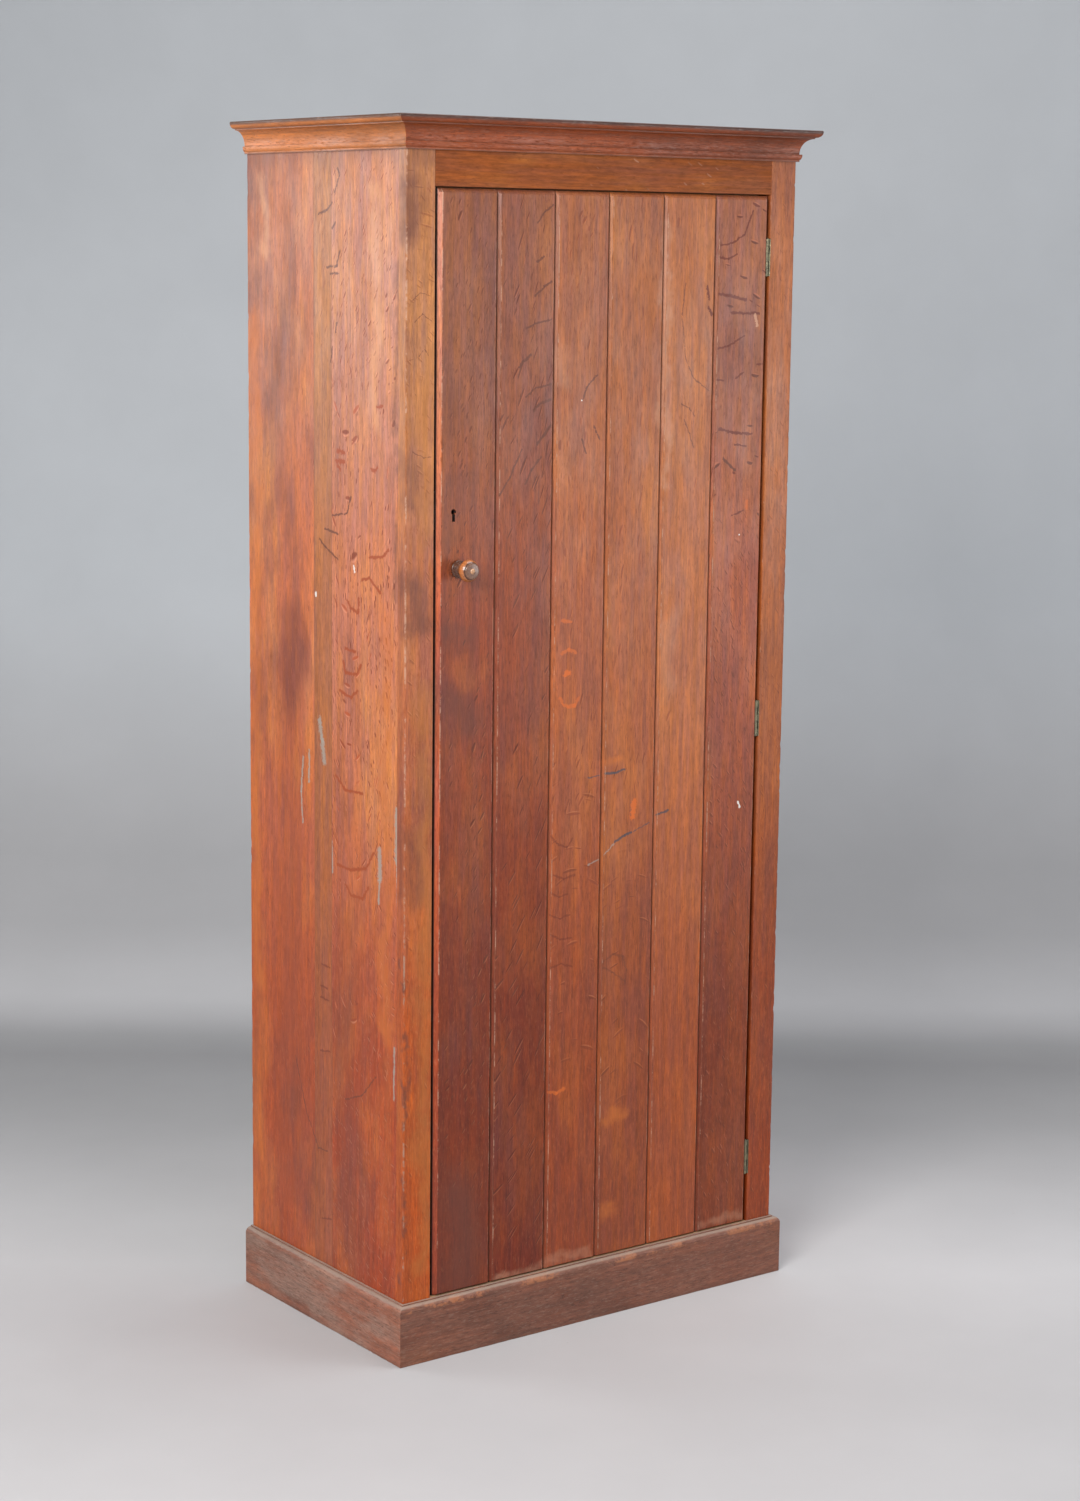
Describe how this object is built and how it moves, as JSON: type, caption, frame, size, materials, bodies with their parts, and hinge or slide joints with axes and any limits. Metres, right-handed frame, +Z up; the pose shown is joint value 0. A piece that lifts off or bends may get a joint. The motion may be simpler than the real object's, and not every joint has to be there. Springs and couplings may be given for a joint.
{
  "type": "cupboard",
  "caption": "Tall narrow oak cupboard with one tongued and V-jointed plank door, turned knob, moulded cornice and plinth, lock and shelves inside.",
  "frame": {"origin": "middle of the base, under the box that holds the whole cupboard with its knob", "axes": "+Z up, -Y towards someone who opens the door, +X to the right of someone who looks at the door"},
  "size_m": [0.7772, 0.4754, 1.83],
  "materials": {
    "oak_frame": "stained and waxed oak, satin",
    "oak_side": "stained quarter-sawn oak, satin, worn",
    "oak_door": "stained quarter-sawn oak with ray flecks, satin",
    "oak_plinth": "dark stained oak, dusty and scuffed",
    "oak_cornice": "dark stained oak, satin",
    "oak_inner": "unstained oak, dry",
    "pine_back": "bare aged softwood",
    "knob_wood": "turned wood, handled and polished",
    "brass": "aged and dull",
    "steel": "aged, darkened"
  },
  "bodies": {
    "carcass": {"back_board_1": "pine_back", "back_board_2": "pine_back", "back_board_3": "pine_back", "back_board_4": "pine_back", "back_board_5": "pine_back", "bottom_rail": "oak_frame", "cornice_front": "oak_cornice", "cornice_left": "oak_cornice", "cornice_right": "oak_cornice", "door_stop_side": "oak_inner", "door_stop_top": "oak_inner", "floor_board": "oak_inner", "hinge_bottom_frame_leaf": "brass", "hinge_bottom_pin": "brass", "hinge_middle_frame_leaf": "brass", "hinge_middle_pin": "brass", "hinge_top_frame_leaf": "brass", "hinge_top_pin": "brass", "left_side_panel": "oak_side", "left_stile": "oak_frame", "plinth_front_board": "oak_plinth", "plinth_left_board": "oak_plinth", "plinth_right_board": "oak_plinth", "right_side_panel": "oak_side", "right_stile": "oak_frame", "shelf_1": "oak_inner", "shelf_2": "oak_inner", "shelf_3": "oak_inner", "shelf_4": "oak_inner", "shelf_bearer_left_1": "oak_inner", "shelf_bearer_left_2": "oak_inner", "shelf_bearer_left_3": "oak_inner", "shelf_bearer_left_4": "oak_inner", "shelf_bearer_right_1": "oak_inner", "shelf_bearer_right_2": "oak_inner", "shelf_bearer_right_3": "oak_inner", "shelf_bearer_right_4": "oak_inner", "strike_plate": "brass", "top_board": "oak_inner", "top_rail": "oak_frame"},
    "door": {"door_knob": "knob_wood", "door_ledge_bottom": "oak_inner", "door_ledge_middle": "oak_inner", "door_ledge_top": "oak_inner", "door_plank_1": "oak_door", "door_plank_2": "oak_door", "door_plank_3": "oak_door", "door_plank_4": "oak_door", "door_plank_5": "oak_door", "door_plank_6": "oak_door", "hinge_bottom_door_leaf": "brass", "hinge_middle_door_leaf": "brass", "hinge_top_door_leaf": "brass", "knob_screw": "steel", "lock_case": "steel", "lock_key_pin": "steel"},
    "lock_bolt": {"lock_bolt": "brass"}
  },
  "joints": [
    {"name": "door_swing", "type": "hinge", "parent": "carcass", "child": "door", "pos_m": [0.3068, -0.19525, 0.96], "axis": [0, 0, 1], "range_deg": [0, 110]},
    {"name": "lock_bolt_slide", "type": "slide", "parent": "door", "child": "lock_bolt", "axis": [-1, 0, 0], "range_m": [0, 0.012]}
  ]
}
